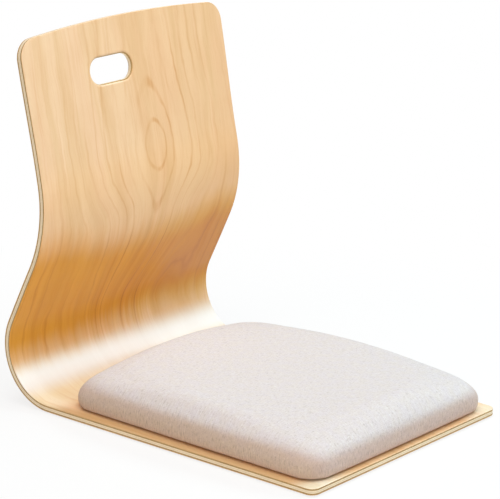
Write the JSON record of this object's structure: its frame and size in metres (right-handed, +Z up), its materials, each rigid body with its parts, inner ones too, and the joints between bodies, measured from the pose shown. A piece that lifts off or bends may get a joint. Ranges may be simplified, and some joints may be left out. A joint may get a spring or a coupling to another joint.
{
  "type": "meditation chair",
  "caption": "Legless floor chair of one bent plywood sheet, with a hand hole in its back and an upholstered pad on its seat.",
  "frame": {"origin": "on the floor under the felt feet, at the centre of the chair's bounding box", "axes": "+X across the seat, +Y from the front edge of the seat towards the back, +Z up; left is -X, as seen from the front"},
  "size_m": [0.41, 0.5404, 0.5165],
  "materials": {
    "face_veneer": "clear semi-gloss lacquer",
    "back_veneer": "clear semi-gloss lacquer",
    "dark_ply": "sanded end grain",
    "mid_ply": "sanded end grain",
    "light_ply": "sanded long grain",
    "board": "raw plywood",
    "foam": "open-cell foam",
    "wadding": "polyester wadding",
    "cover": "woven heather cloth",
    "dust_cloth": "spunbond cloth",
    "steel": "zinc plated",
    "felt": "pressed felt"
  },
  "bodies": {
    "root": {"face_veneer": "face_veneer", "core_ply_1": "dark_ply", "core_ply_2": "light_ply", "core_ply_3": "mid_ply", "core_ply_4": "light_ply", "core_ply_5": "dark_ply", "back_veneer": "back_veneer", "pad_board": "board", "pad_foam": "foam", "pad_wadding": "wadding", "pad_cover": "cover", "pad_dust_cloth": "dust_cloth", "cover_staples": "steel", "tee_nuts": "steel", "pad_screws": "steel", "foot_front_left": "felt", "foot_front_right": "felt", "foot_rear_left": "felt", "foot_rear_right": "felt"}
  },
  "joints": []
}
